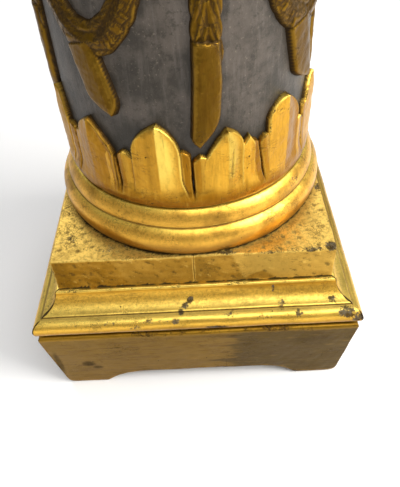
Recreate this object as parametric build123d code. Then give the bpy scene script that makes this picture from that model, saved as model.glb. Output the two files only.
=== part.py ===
"""Columnar altar candlestick of gilded and painted wood, in millimetres, +Z up.

The origin is the centre of the square that the four bracket feet stand on. -Y is the front.
From the floor up: a hollow plinth with bracket feet, a mitred moulding, a block of two boards,
a turned ring, a round shaft with carved leaves, swags and drops, a leafy capital with a square
abacus, a vase, and a dish with a loose brass drip pan. One iron rod holds the stack together,
and its top end is the pricket that the candle is pushed onto.
"""

import math
import os

from build123d import *

# Driving dimensions
PLINTH_HALF = 150.0            # half width of the plinth at its top edge
PLINTH_FOOT_HALF = 140.0       # half width at the floor, so the sides lean in
PLINTH_CAVITY_HALF = 110.0
DECK_HALF = 114.0
BLOCK_HALF = 124.5
SHAFT_RADIUS = 106.0           # the painted ground at the foot of the shaft
SHAFT_TOP_RADIUS = 88.0
SHAFT_CAVITY_RADIUS = 66.0
CARVING_DEPTH = 8.0            # how far leaves, swags and drops stand off the shaft
ABACUS_HALF = 118.0
DISH_RADIUS = 94.0
ROD_RADIUS = 6.0
ROD_BORE_RADIUS = 7.0
SPIKE_RADIUS = 5.0

# Levels, from the floor up
Z_PLINTH = 92.0
Z_MOULDING = 133.0
Z_BLOCK = 168.0
Z_RING = 210.0
Z_LEAF_TIP = 290.0
Z_TAPER = 300.0                # the shaft is a cylinder below this, and tapers in an arc above
Z_SHAFT = 742.0
Z_NECK = 762.0
Z_BELL = 842.0
Z_ABACUS = 866.0
Z_VASE_FOOT = 890.0
Z_VASE = 985.0
Z_DISH_FLOOR = 998.0
Z_COLLAR = 1001.0
Z_PAN_FLOOR = 1004.0
Z_PAN_RIM = 1021.0
Z_SPIKE_SHANK = 1046.0
Z_SPIKE_TIP = 1110.0

# Joinery
LOWER_TENON = (40.0, 18.0)     # radius and length of the tenon from the shaft into the ring
UPPER_TENON = (34.0, 38.0)     # and of the one from the shaft through the neck ring
PLUG_THICKNESS = 36.0
GLUE_BLOCK = 26.0
NAIL_RADIUS = 1.5
DOWEL_RADIUS = 5.0

# Carving
LEAVES = 12
LEAF_WIDTH = 39.0
FIRST_LEAF_ANGLE = -12.0       # degrees round from the front, towards the right side
SWAGS = 4
FIRST_DROP_ANGLE = 10.5
Z_BOW = 560.0
Z_DROP_TIP = 268.0
SWAG_REACH = 70.0              # half width of a swag, across the chord, at its upper ends
SWAG_INNER_REACH = 54.0

TAPER_ARC = ((SHAFT_RADIUS - SHAFT_TOP_RADIUS) ** 2 + (Z_SHAFT - Z_TAPER) ** 2) / (
    2 * (SHAFT_RADIUS - SHAFT_TOP_RADIUS)
)
TOO_FAR = 400.0                # longer than any piece is wide, for cutting tools


def outline(start, *steps):
    """A face in the XZ plane. A step is the end of a line, or (a point on it, the end) of an arc."""
    edges, here = [], start
    for step in steps:
        is_arc = isinstance(step[0], tuple)
        end = step[1] if is_arc else step
        edges.append(ThreePointArc(here, step[0], end) if is_arc else Line(here, end))
        here = end
    edges.append(Line(here, start))
    return Plane.XZ * make_face(edges)


def turned(start, *steps):
    """A solid of revolution about Z, from half of its section."""
    return revolve(outline(start, *steps), Axis.Z)


def column(radius, low, high, x=0.0, y=0.0):
    """A round bar or hole along Z."""
    return Pos(x, y, low) * extrude(Circle(radius), high - low)


def towards_front(face):
    """A face in the XZ plane, drawn out towards the front."""
    return extrude(face, TOO_FAR, dir=(0, -1, 0))


def square_block(half, low, high):
    return Pos(0, 0, (low + high) / 2) * Box(2 * half, 2 * half, high - low)


def rod_hole():
    return column(ROD_BORE_RADIUS, 0, Z_SPIKE_TIP)


def facing(angle, shape):
    """Turns a piece made for the front so that it faces this many degrees to the front's right."""
    return Rot(0, 0, angle) * shape


def shaft_radius(z):
    """Radius of the painted shaft at a height: straight, then an arc that starts upright."""
    rise = max(0.0, z - Z_TAPER)
    return SHAFT_RADIUS - TAPER_ARC + math.sqrt(TAPER_ARC**2 - rise**2)


def shaft_body(proud=0.0, low=Z_RING, high=Z_SHAFT):
    """The shaft's outer form between two levels, thicker by proud."""
    middle = (max(low, Z_TAPER) + high) / 2
    steps = []
    if low < Z_TAPER:
        steps.append((shaft_radius(Z_TAPER) + proud, Z_TAPER))
    steps.append(((shaft_radius(middle) + proud, middle), (shaft_radius(high) + proud, high)))
    return turned((0, low), (shaft_radius(low) + proud, low), *steps, (0, high))


def carved_on_shaft(pattern, low, high, proud=CARVING_DEPTH):
    """A pattern in the XZ plane, cut through the front of a shell that hugs the shaft."""
    shell = shaft_body(proud, low, high) - shaft_body(0.0, low - 1, high + 1)
    return shell & towards_front(pattern)


def save(shape, node):
    export_step(shape, os.path.join("parts", node + ".step"))


# ---------------------------------------------------------------- plinth


def foot_arch():
    """The low arch between two bracket feet, cut through from front to back."""
    half_span, shoulder, flat_half, rise = 97.0, 84.0, 58.0, 17.0
    arch = outline(
        (-half_span, -5),
        (-half_span, 0),
        ((-91.5, 4.0), (-shoulder, 10.0)),
        ((-72.0, 15.2), (-flat_half, rise)),
        (flat_half, rise),
        ((72.0, 15.2), (shoulder, 10.0)),
        ((91.5, 4.0), (half_span, 0)),
        (half_span, -5),
    )
    return extrude(arch, TOO_FAR / 2, both=True)


def mitre_wedge(low, high):
    """What the front side of a square frame may fill: a wedge between the two mitre planes."""
    plan = make_face(Polyline((0, 0), (-TOO_FAR, -TOO_FAR), (TOO_FAR, -TOO_FAR), close=True))
    return Pos(0, 0, low) * extrude(plan, high - low)


def mitred_side(section, low, high):
    """The front side of a square frame, from its section, which is given as outward and up."""
    bar = extrude(Plane.YZ * make_face(section), TOO_FAR, both=True)
    return bar & mitre_wedge(low, high)


def plinth_board():
    section = Polyline(
        (-PLINTH_CAVITY_HALF, 0),
        (-PLINTH_FOOT_HALF, 0),
        (-PLINTH_HALF, Z_PLINTH),
        (-PLINTH_CAVITY_HALF, Z_PLINTH),
        close=True,
    )
    return mitred_side(section, 0, Z_PLINTH) - foot_arch()


def corner_glue_blocks():
    middle = PLINTH_CAVITY_HALF - GLUE_BLOCK / 2
    low = 24.0
    post = Pos(middle, -middle, (low + Z_PLINTH) / 2) * Box(GLUE_BLOCK, GLUE_BLOCK, Z_PLINTH - low)
    return Compound([facing(90 * i, post) for i in range(4)])


def moulding_nails():
    """Three forged nails through the bead of each side into the deck, sunk below the surface."""
    length, head_at, level = 46.0, 147.0, 102.0
    places = (-96.0, 0.0, 96.0)
    nail = extrude(Plane.XZ * Circle(NAIL_RADIUS), length)
    front = [Pos(x, -head_at + length, level) * nail for x in places]
    return Compound([facing(90 * i, one) for i in range(4) for one in front])


def moulding_side():
    """Bead below, quirk, then a cavetto that rises to a small fillet under the block."""
    section = [
        Line((-DECK_HALF, Z_PLINTH), (-147.5, Z_PLINTH)),
        ThreePointArc((-147.5, Z_PLINTH), (-151.5, 101.5), (-143.5, 112.0)),
        Line((-143.5, 112.0), (-141.0, 112.4)),
        Line((-141.0, 112.4), (-140.6, 114.2)),
        ThreePointArc((-140.6, 114.2), (-131.4, 120.6), (-127.6, 130.4)),
        Line((-127.6, 130.4), (-127.6, Z_MOULDING)),
        Line((-127.6, Z_MOULDING), (-DECK_HALF, Z_MOULDING)),
        Line((-DECK_HALF, Z_MOULDING), (-DECK_HALF, Z_PLINTH)),
    ]
    return mitred_side(section, Z_PLINTH, Z_MOULDING)


def deck_board():
    return square_block(DECK_HALF, Z_PLINTH, Z_MOULDING) - rod_hole()


def block_dowels():
    """Two dowels across the joint between the block's boards."""
    reach, offset, level = 26.0, 76.0, (Z_MOULDING + Z_BLOCK) / 2
    dowel = extrude(Plane.YZ * Circle(DOWEL_RADIUS), reach, both=True)
    return Compound([Pos(0, y, level) * dowel for y in (-offset, offset)])


def block_board():
    """The left one of the two boards of the block; the joint runs from front to back."""
    height = Z_BLOCK - Z_MOULDING
    board = Pos(-BLOCK_HALF / 2, 0, Z_MOULDING + height / 2) * Box(BLOCK_HALF, 2 * BLOCK_HALF, height)
    return board - rod_hole() - block_dowels()


# ---------------------------------------------------------------- ring and shaft


def base_ring():
    """A torus, a fine fillet and a shallow ovolo that the leaves stand on."""
    tenon_radius, tenon_length = LOWER_TENON
    ring = turned(
        (0, Z_BLOCK),
        (121.0, Z_BLOCK),
        ((126.0, 180.5), (118.8, 193.6)),
        (117.4, 194.6),
        (118.2, 196.0),
        ((116.2, 203.6), (111.0, Z_RING)),
        (0, Z_RING),
    )
    return ring - rod_hole() - column(tenon_radius, Z_RING - tenon_length, Z_RING)


def lower_plug():
    tenon_radius, tenon_length = LOWER_TENON
    disc = column(SHAFT_CAVITY_RADIUS, Z_RING, Z_RING + PLUG_THICKNESS)
    return disc + column(tenon_radius, Z_RING - tenon_length, Z_RING) - rod_hole()


def upper_plug():
    tenon_radius, tenon_length = UPPER_TENON
    disc = column(SHAFT_CAVITY_RADIUS, Z_SHAFT - PLUG_THICKNESS, Z_SHAFT)
    return disc + column(tenon_radius, Z_SHAFT, Z_SHAFT + tenon_length) - rod_hole()


def shaft_half():
    """The front half of the hollow shaft, which is glued up from two halves."""
    shell = shaft_body() - column(SHAFT_CAVITY_RADIUS, Z_RING, Z_SHAFT)
    front = Pos(0, -TOO_FAR / 2, Z_SHAFT / 2) * Box(TOO_FAR, TOO_FAR, TOO_FAR * 2)
    return shell & front


def leaf_gap(half_pitch, leaf_half, base, tip, leaflet_tip):
    """What is cut away between two leaves: a V, and below it a groove that splits two leaflets."""
    groove, end = 1.2, half_pitch - 0.4
    edge, near_edge = half_pitch - leaf_half, half_pitch - leaf_half * 0.72
    widest, near_tip = base + (tip - base) * 0.58, base + (tip - base) * 0.82
    shoulder = leaflet_tip - math.copysign((edge - groove) * 0.45, tip - base)
    past_tip = tip + (tip - base) * 0.1
    leaflet_middle = (groove + edge) / 2
    return outline(
        (-groove, base),
        (-groove, shoulder),
        ((-leaflet_middle, leaflet_tip), (-edge, shoulder)),
        (-edge, widest),
        ((-near_edge, near_tip), (-end, tip)),
        (-end, past_tip),
        (end, past_tip),
        (end, tip),
        ((near_edge, near_tip), (edge, widest)),
        (edge, shoulder),
        ((leaflet_middle, leaflet_tip), (groove, shoulder)),
        (groove, base),
    )


def leaf_row(shell, gap, count=LEAVES, first=FIRST_LEAF_ANGLE):
    """A row of leaves round a shell, made by cutting the gaps between them."""
    step = 360 / count
    cutter = towards_front(gap)
    for i in range(count):
        shell = shell - facing(first + step * (i + 0.5), cutter)
    return shell


def acanthus_collar():
    """The carved sleeve round the foot of the shaft: a plain band below, leaves above."""
    low, band_top, outer_radius = Z_RING, 226.0, SHAFT_RADIUS + CARVING_DEPTH
    outer = turned(
        (0, low),
        (110.6, low),
        ((112.6, 213.0), (113.2, 218.0)),
        (outer_radius, 250.0),
        (outer_radius, Z_LEAF_TIP),
        (0, Z_LEAF_TIP),
    )
    shell = outer - column(SHAFT_RADIUS, low - 1, Z_LEAF_TIP + 1)
    return leaf_row(shell, leaf_gap(27.3, LEAF_WIDTH / 2, band_top, Z_LEAF_TIP, 264.0))


def upper_leaf_collar():
    """Short leaves that hang from the neck over the top of the shaft."""
    tip, band_bottom = 690.0, 730.0
    shell = shaft_body(6.0, tip, Z_SHAFT) - shaft_body(0.0, tip - 1, Z_SHAFT + 1)
    return leaf_row(shell, leaf_gap(24.5, 16.5, band_bottom, tip, 708.0))


def bow_pattern():
    """A ribbon bow with a round knot, flat in the XZ plane."""
    loop = Plane.XZ * (Pos(17, Z_BOW + 3) * Rot(0, 0, 16) * Ellipse(15, 8.5))
    knot = Plane.XZ * (Pos(0, Z_BOW) * Circle(9))
    return knot + loop + mirror(loop, Plane.YZ)


def drop_pattern():
    """A drop of leaves that widens, then ends in one leaf whose tip curls to the left."""
    return outline(
        (-6.0, Z_BOW - 6),
        ((-9.0, 500.0), (-11.5, 420.0)),
        ((-12.0, 350.0), (-9.7, 303.0)),
        ((-10.2, 284.0), (-8.3, Z_DROP_TIP)),
        ((-2.0, 281.0), (9.0, 308.0)),
        ((12.5, 350.0), (11.5, 420.0)),
        ((9.0, 500.0), (6.0, Z_BOW - 6)),
    )


def swag_pattern():
    """A hanging crescent with a tip in the middle of its lower edge."""
    ends, sag_top, sag_bottom, tip = Z_BOW - 16, 368.0, 328.0, 294.0
    return outline(
        (-SWAG_INNER_REACH, ends),
        ((-44.0, 424.0), (0, sag_top)),
        ((44.0, 424.0), (SWAG_INNER_REACH, ends)),
        (SWAG_REACH, ends),
        ((58.0, 410.0), (13.0, sag_bottom)),
        (9.5, tip),
        (-5.0, sag_bottom),
        ((-56.0, 410.0), (-SWAG_REACH, ends)),
    )


def bow():
    return carved_on_shaft(bow_pattern(), Z_BOW - 30, Z_BOW + 30)


def leaf_drop():
    hanging = carved_on_shaft(drop_pattern(), Z_DROP_TIP - 2, Z_BOW)
    return hanging - towards_front(bow_pattern())


def laurel_swag():
    """One swag, which ends against the bows and drops to its left and right."""
    crescent = carved_on_shaft(swag_pattern(), Z_DROP_TIP + 20, Z_BOW)
    for beside in (-180 / SWAGS, 180 / SWAGS):
        for pattern in (drop_pattern(), bow_pattern()):
            crescent = crescent - facing(beside, towards_front(pattern))
    return crescent


# ---------------------------------------------------------------- capital, vase and dish


def neck_ring():
    ring = turned(
        (0, Z_SHAFT),
        (90.0, Z_SHAFT),
        ((97.0, 749.5), (90.0, 757.0)),
        (86.0, 758.0),
        (86.0, Z_NECK),
        (0, Z_NECK),
    )
    return ring - column(UPPER_TENON[0], Z_SHAFT, Z_NECK)


def bell_body(proud=0.0):
    """The capital's bell, a flaring hollow curve, thicker by proud."""
    return turned(
        (0, Z_NECK),
        (83.0 + proud, Z_NECK),
        (83.0 + proud, 768.0),
        ((88.0 + proud, 812.0), (106.0 + proud, 836.0)),
        (106.0 + proud, Z_BELL),
        (0, Z_BELL),
    )


def capital_bell():
    return bell_body() - rod_hole() - column(UPPER_TENON[0], Z_NECK, Z_SHAFT + UPPER_TENON[1])


def capital_leaves():
    """One row of leaves that hugs the bell and bends outward with it."""
    tip, band_top = 828.0, 772.0
    shell = (bell_body(7.0) - bell_body()) & column(TOO_FAR, Z_NECK, tip)
    return leaf_row(shell, leaf_gap(25.2, 18.5, band_top, tip, 804.0))


def abacus():
    """A square slab with hollowed sides and cut corners."""
    corner, hollow = 14.0, 9.0
    side_start = ABACUS_HALF - corner
    edges, corners = [], []
    for i in range(4):
        side = ThreePointArc(
            (-side_start, -ABACUS_HALF), (0, hollow - ABACUS_HALF), (side_start, -ABACUS_HALF)
        )
        cut = Line((side_start, -ABACUS_HALF), (ABACUS_HALF, -side_start))
        edges.append(Rot(0, 0, 90 * i) * side)
        corners.append(Rot(0, 0, 90 * i) * cut)
    slab = Pos(0, 0, Z_BELL) * extrude(make_face(edges + corners), Z_ABACUS - Z_BELL)
    return slab - rod_hole()


def vase_foot():
    foot = turned(
        (0, Z_ABACUS),
        (60.0, Z_ABACUS),
        ((67.0, 873.0), (60.0, 880.0)),
        (52.0, 881.0),
        ((42.0, 884.5), (36.0, Z_VASE_FOOT)),
        (0, Z_VASE_FOOT),
    )
    return foot - rod_hole()


def vase_form(proud=0.0):
    return turned(
        (0, Z_VASE_FOOT),
        (30.0 + proud, Z_VASE_FOOT),
        ((53.0 + proud, 912.0), (57.0 + proud, 938.0)),
        ((48.0 + proud, 956.0), (27.0 + proud, 968.0)),
        ((24.5 + proud, 976.0), (30.0 + proud, Z_VASE)),
        (0, Z_VASE),
    )


def vase_body():
    return vase_form() - rod_hole()


def vase_leaves():
    """A cup of leaves round the lower half of the vase."""
    tip, band_top, count = 936.0, 903.0, 10
    shell = (vase_form(4.5) - vase_form()) & column(TOO_FAR, Z_VASE_FOOT, tip)
    return leaf_row(shell, leaf_gap(18.8, 12.0, band_top, tip, 919.0), count)


def drip_dish():
    """The turned wooden dish under the drip pan, with a moulded lip."""
    dish = turned(
        (0, Z_VASE),
        (32.0, Z_VASE),
        ((60.0, 990.0), (84.0, 1004.0)),
        (90.0, 1004.0),
        ((DISH_RADIUS, 1009.0), (90.0, 1014.0)),
        (85.0, 1014.0),
        ((62.0, 1004.5), (40.0, 1002.6)),
        (22.0, 1002.6),
        (22.0, Z_DISH_FLOOR),
        (0, Z_DISH_FLOOR),
    )
    return dish - rod_hole()


def drip_pan():
    """Loose brass pan, spun from sheet, with a flat floor, a flared wall and a rolled rim."""
    sheet, hole = 1.2, 5.6
    floor_radius, rim_radius = 40.0, 84.0
    return turned(
        (hole, Z_PAN_FLOOR),
        (floor_radius, Z_PAN_FLOOR),
        ((63.0, 1006.2), (rim_radius - 3, 1016.4)),
        (rim_radius - 1, Z_PAN_RIM - 3),
        (rim_radius, Z_PAN_RIM - 1.6),
        (rim_radius - 1.2, Z_PAN_RIM),
        (rim_radius - 3, Z_PAN_RIM - 1.0),
        (rim_radius - 4.2, 1017.4),
        ((62.0, 1007.6), (floor_radius - 0.2, Z_PAN_FLOOR + sheet)),
        (hole, Z_PAN_FLOOR + sheet),
    )


# ---------------------------------------------------------------- iron rod


def tie_rod():
    """One forged rod: threaded foot, a step that centres the drip pan, and the pricket above it."""
    low, blunt = 66.0, 0.8
    step_radius, step_top, cone = 5.3, 1005.8, 1.8
    return turned(
        (0, low),
        (ROD_RADIUS, low),
        (ROD_RADIUS, Z_COLLAR),
        (step_radius, Z_COLLAR),
        (step_radius, step_top),
        (SPIKE_RADIUS, step_top + cone),
        (SPIKE_RADIUS, Z_SPIKE_SHANK),
        (blunt, Z_SPIKE_TIP),
        (0, Z_SPIKE_TIP),
    )


def rod_collar():
    """A collar brazed round the rod, which holds the dish down."""
    radius = 15.0
    return column(radius, Z_DISH_FLOOR, Z_COLLAR) - column(ROD_RADIUS, Z_DISH_FLOOR - 1, Z_COLLAR + 1)


def rod_washer():
    thickness = 4.0
    return square_block(22.0, Z_PLINTH - thickness, Z_PLINTH) - rod_hole()


def rod_nut():
    high = Z_PLINTH - 4.0
    return square_block(11.0, high - 12.0, high) - column(ROD_RADIUS, high - 13.0, high + 1)


# ---------------------------------------------------------------- write the nodes

os.makedirs("parts", exist_ok=True)

SIDES = ("front", "right", "back", "left")
nails = moulding_nails()
board, side_strip = plinth_board(), moulding_side()
for i, side in enumerate(SIDES):
    save(facing(90 * i, board), "plinth_board_" + side)
    save(facing(90 * i, side_strip) - nails, "moulding_" + side)
save(corner_glue_blocks(), "corner_glue_blocks")
save(nails, "moulding_nails")
save(deck_board() - nails, "deck_board")
left_half = block_board()
save(left_half, "block_board_left")
save(mirror(left_half, Plane.YZ), "block_board_right")
save(block_dowels(), "block_dowels")

save(base_ring(), "base_ring")
save(lower_plug(), "shaft_lower_plug")
front_half = shaft_half()
save(front_half, "shaft_half_front")
save(facing(180, front_half), "shaft_half_back")
save(upper_plug(), "shaft_upper_plug")
save(acanthus_collar(), "acanthus_collar")
save(upper_leaf_collar(), "upper_leaf_collar")
carvings = {"bow": bow(), "leaf_drop": leaf_drop()}
one_swag = laurel_swag()
for i in range(SWAGS):
    drop_angle = FIRST_DROP_ANGLE + 360 / SWAGS * i
    for name, carving in carvings.items():
        save(facing(drop_angle, carving), f"{name}_{i + 1}")
    save(facing(drop_angle - 180 / SWAGS, one_swag), f"laurel_swag_{i + 1}")

save(neck_ring(), "neck_ring")
save(capital_bell(), "capital_bell")
save(capital_leaves(), "capital_leaves")
save(abacus(), "abacus")
save(vase_foot(), "vase_foot")
save(vase_body(), "vase_body")
save(vase_leaves(), "vase_leaves")
save(drip_dish(), "drip_dish")
save(drip_pan(), "drip_pan")
save(tie_rod(), "tie_rod")
save(rod_collar(), "rod_collar")
save(rod_washer(), "rod_washer")
save(rod_nut(), "rod_nut")
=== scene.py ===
"""Looks of the gilded altar candlestick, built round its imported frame.

The shape functions work in millimetres, in the row frame: X right, -Y front, Z up. A piece's
points become metres when its mesh is made. Carvings are laid out on the unrolled shaft, as a
distance round from the front, a height, and how far they stand off the turned ground.
"""

import math

import bmesh
import bpy
import numpy as np
from mathutils import Matrix, Vector


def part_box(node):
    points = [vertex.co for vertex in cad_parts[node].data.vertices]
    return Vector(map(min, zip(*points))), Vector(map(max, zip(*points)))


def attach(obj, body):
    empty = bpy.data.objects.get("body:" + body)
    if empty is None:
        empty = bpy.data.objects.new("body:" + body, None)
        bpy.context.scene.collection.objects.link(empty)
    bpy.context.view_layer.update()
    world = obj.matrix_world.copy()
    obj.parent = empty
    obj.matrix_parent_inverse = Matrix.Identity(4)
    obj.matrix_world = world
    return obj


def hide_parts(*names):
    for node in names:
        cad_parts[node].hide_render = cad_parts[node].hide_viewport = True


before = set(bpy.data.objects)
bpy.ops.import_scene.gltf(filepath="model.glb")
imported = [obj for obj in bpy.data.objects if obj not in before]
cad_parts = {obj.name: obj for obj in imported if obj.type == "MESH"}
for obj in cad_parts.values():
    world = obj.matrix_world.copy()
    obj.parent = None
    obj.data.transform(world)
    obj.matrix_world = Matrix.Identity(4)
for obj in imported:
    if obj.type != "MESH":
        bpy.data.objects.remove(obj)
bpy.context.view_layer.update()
BODY = "candlestick"
SIDES = ("front", "right", "back", "left")


def top(node):
    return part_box(node)[1].z * 1000


def bottom(node):
    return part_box(node)[0].z * 1000


def half_width(node):
    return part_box(node)[1].x * 1000


# ---------------------------------------------------------------- curves and noise


def three_point_arc(a, b, c, spacing):
    """Points on the arc from a through b to c, without a itself."""
    (ax, ay), (bx, by), (cx, cy) = a, b, c
    d = 2 * (ax * (by - cy) + bx * (cy - ay) + cx * (ay - by))
    aa, bb, cc = ax**2 + ay**2, bx**2 + by**2, cx**2 + cy**2
    ux = (aa * (by - cy) + bb * (cy - ay) + cc * (ay - by)) / d
    uy = (aa * (cx - bx) + bb * (ax - cx) + cc * (bx - ax)) / d
    radius = math.hypot(ax - ux, ay - uy)
    start, end = math.atan2(ay - uy, ax - ux), math.atan2(cy - uy, cx - ux)
    turn = (end - start) % (2 * math.pi)
    if (math.atan2(by - uy, bx - ux) - start) % (2 * math.pi) > turn:
        turn -= 2 * math.pi
    count = max(3, int(abs(turn) * radius / spacing))
    angles = start + turn * np.arange(1, count + 1) / count
    return [(ux + radius * math.cos(t), uy + radius * math.sin(t)) for t in angles]


def softened(loops, rounds, axis):
    """Every point moved halfway to its neighbours' middle, each round."""
    for _ in range(rounds):
        loops = loops / 2 + (np.roll(loops, 1, axis) + np.roll(loops, -1, axis)) / 4
    return loops


def section(start, *steps, spacing=0.9, soften=2):
    """A closed outline. A step is the end of a line, or (a point on an arc, its end).

    Each round of soften rounds the corners a little more, as a coat of gesso does.
    """
    points = [start]
    for step in (*steps, start):
        if isinstance(step[0], tuple):
            points += three_point_arc(points[-1], step[0], step[1], spacing)
        else:
            here, there = np.array(points[-1]), np.array(step)
            count = max(1, int(np.linalg.norm(there - here) / spacing))
            points += [tuple(here + (there - here) * i / count) for i in range(1, count + 1)]
    return softened(np.array(points[:-1], float), soften, axis=0)


def smoothstep(low, high, value):
    t = np.clip((value - low) / (high - low), 0, 1)
    return t * t * (3 - 2 * t)


def waves(points, size, seed, octaves=2):
    """A smooth random field of about -1 to 1 over points, with features of that size."""
    random = np.random.default_rng(seed)
    total = np.zeros(points.shape[:-1])
    for octave in range(octaves):
        for _ in range(9):
            direction = random.normal(size=3)
            pitch = 2 * math.pi / size * 2**octave * random.uniform(0.6, 1.4)
            direction *= pitch / np.linalg.norm(direction)
            total += np.sin(points @ direction + random.uniform(0, 2 * math.pi)) / 2**octave
    return total / 3.2


def turn(points, degrees):
    """Points turned about Z, from the front towards the right side."""
    a = math.radians(degrees)
    x, y = points[..., 0], points[..., 1]
    turned = (x * math.cos(a) - y * math.sin(a), x * math.sin(a) + y * math.cos(a), points[..., 2])
    return np.stack(turned, -1)


# ---------------------------------------------------------------- meshes


def grid_faces(rows, columns, closed_rows=False, closed_columns=True):
    """Four-sided faces over points stored row by row."""
    r, c = np.meshgrid(
        np.arange(rows if closed_rows else rows - 1),
        np.arange(columns if closed_columns else columns - 1),
        indexing="ij",
    )
    r2, c2 = (r + 1) % rows, (c + 1) % columns
    corners = [r * columns + c, r * columns + c2, r2 * columns + c2, r2 * columns + c]
    return np.stack(corners, -1).reshape(-1, 4)


class Carcass:
    """Closed shells, in millimetres, that become one piece."""

    def __init__(self):
        self.points, self.quads, self.caps, self.count = [], [], [], 0
        # shade holds painted shade with some real smudges and open mitres, glow painted highlights with
        # some paler leaf, amber painted amber reflection and shade
        self.marks = {name: [] for name in ("shade", "glow", "amber")}

    def add(self, points, quads, caps=(), **marks):
        flat = points.reshape(-1, 3)
        self.points.append(flat)
        self.quads.append(quads + self.count)
        self.caps += [[i + self.count for i in cap] for cap in caps]
        for name, values in self.marks.items():
            mark = np.asarray(marks.get(name, 0.0), float)
            values.append(np.broadcast_to(mark, points.shape[:-1]).reshape(-1))
        self.count += len(flat)

    def tube(self, loops, **marks):
        """Closed loops in a row, capped at both ends."""
        rows, columns = loops.shape[:2]
        last = (rows - 1) * columns
        caps = [list(range(columns))[::-1], list(range(last, last + columns))]
        self.add(loops, grid_faces(rows, columns), caps, **marks)

    def ring(self, loops, **marks):
        """Closed loops all the way round."""
        self.add(loops, grid_faces(*loops.shape[:2], closed_rows=True), **marks)

    def piece(self, name, material, *nodes, stains=()):
        """The finished piece, which rides on the candlestick and stands for CAD nodes."""
        points = np.concatenate(self.points)
        faces = np.concatenate(self.quads).tolist() + self.caps
        mesh = bpy.data.meshes.new(name)
        mesh.from_pydata((points / 1000).tolist(), [], faces)
        mesh.update()
        fix_winding(mesh)
        mesh.shade_smooth()
        piece = bpy.data.objects.new(name, mesh)
        bpy.context.scene.collection.objects.link(piece)
        mesh.materials.append(material)
        marks = {name: np.concatenate(values) for name, values in self.marks.items()}
        set_marks(mesh, points, {**marks, "stain": stain_at(points, stains)})
        if nodes:
            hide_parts(*nodes)
        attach(piece, BODY)
        return piece


def fix_winding(mesh):
    """Turns every shell's faces outward."""
    shape = bmesh.new()
    shape.from_mesh(mesh)
    bmesh.ops.recalc_face_normals(shape, faces=shape.faces)
    shape.to_mesh(mesh)
    shape.free()


def standing_out(points, normals, edges, rounds):
    """How far each point stands out from its smoothed surroundings, in millimetres."""
    a, b = edges[:, 0], edges[:, 1]
    neighbours = np.bincount(a, minlength=len(points)) + np.bincount(b, minlength=len(points))
    smooth = points.copy()
    for _ in range(rounds):
        total = np.stack(
            [
                np.bincount(a, smooth[b, k], len(points)) + np.bincount(b, smooth[a, k], len(points))
                for k in range(3)
            ],
            -1,
        )
        smooth = smooth / 2 + total / np.maximum(neighbours, 1)[:, None] / 2
    return np.einsum("ij,ij->i", points - smooth, normals)


def stain_at(points, stains):
    """The strongest of some soft spots, each a centre, radii along X, Y and Z, and a strength."""
    strongest = np.zeros(len(points))
    for centre, radii, strength in stains:
        away = np.linalg.norm((points - np.array(centre)) / np.array(radii), axis=1)
        strongest = np.maximum(strongest, strength * (1 - smoothstep(0.35, 1.0, away)))
    return strongest


def set_marks(mesh, points, marks):
    """Point attributes for the materials: proud and deep from the shape, the rest as given."""
    normals = np.zeros(len(points) * 3, np.float32)
    mesh.vertices.foreach_get("normal", normals)
    edges = np.zeros(len(mesh.edges) * 2, np.int32)
    mesh.edges.foreach_get("vertices", edges)
    edges, normals = edges.reshape(-1, 2), normals.reshape(-1, 3).astype(float)
    fine = standing_out(points, normals, edges, 5)
    broad = standing_out(points, normals, edges, 30)
    values = {
        "proud": np.clip(fine / 0.10, 0, 1) * 0.6 + np.clip(broad / 0.5, 0, 1) * 0.4,
        "deep": np.clip(-fine / 0.12, 0, 1) * 0.5 + np.clip(-broad / 0.6, 0, 1) * 0.7,
        **marks,
    }
    for name, value in values.items():
        layer = mesh.attributes.new(name, "FLOAT", "POINT")
        layer.data.foreach_set("value", np.clip(value, 0, 1).astype(np.float32))


# ---------------------------------------------------------------- materials

BOLE = (0.110, 0.045, 0.014)                # red clay under the leaf
GESSO = (0.075, 0.070, 0.058)
# dark brown, used for dirt and for painted shade
GRIME_AND_SHADE = (0.022, 0.012, 0.004)
TARNISH = (0.075, 0.030, 0.003)
# deep amber, painted as gold reflected in gold and as shade
AMBER_SHADE_COLOUR = (0.23, 0.088, 0.002)
TURNING_LINES = 5200.0                      # angle of the lines' wave in a metre of radius


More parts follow.
